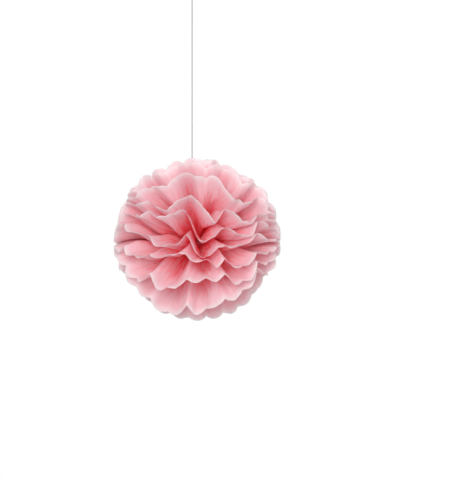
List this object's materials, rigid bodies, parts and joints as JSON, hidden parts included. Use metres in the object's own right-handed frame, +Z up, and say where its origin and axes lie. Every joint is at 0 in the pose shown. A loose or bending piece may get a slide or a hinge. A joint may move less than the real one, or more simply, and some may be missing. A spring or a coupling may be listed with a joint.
{
  "type": "tissue paper pom pom",
  "caption": "Fluffy ball of pleated pink tissue paper sheets with scalloped edges, tied at the waist with wire and hung on a thin grey thread with a loop.",
  "frame": {"origin": "top of the hanging loop, where it hangs on a hook", "axes": "+Z up along the thread, -Y towards the flower's front, +X to the right when seen from the front"},
  "size_m": [0.3519, 0.3517, 0.7259],
  "materials": {
    "tissue": "matte, slightly translucent tissue paper",
    "wire": "plain soft wire",
    "string": "matte twisted string"
  },
  "bodies": {
    "root": {"tissue_sheet_01": "tissue", "tissue_sheet_02": "tissue", "tissue_sheet_03": "tissue", "tissue_sheet_04": "tissue", "tissue_sheet_05": "tissue", "tissue_sheet_06": "tissue", "tissue_sheet_07": "tissue", "tissue_sheet_08": "tissue", "tissue_sheet_09": "tissue", "tissue_sheet_10": "tissue", "wire_tie": "wire", "tie_knot": "string", "hanging_thread": "string", "loop_knot": "string", "hanging_loop": "string"}
  },
  "joints": []
}
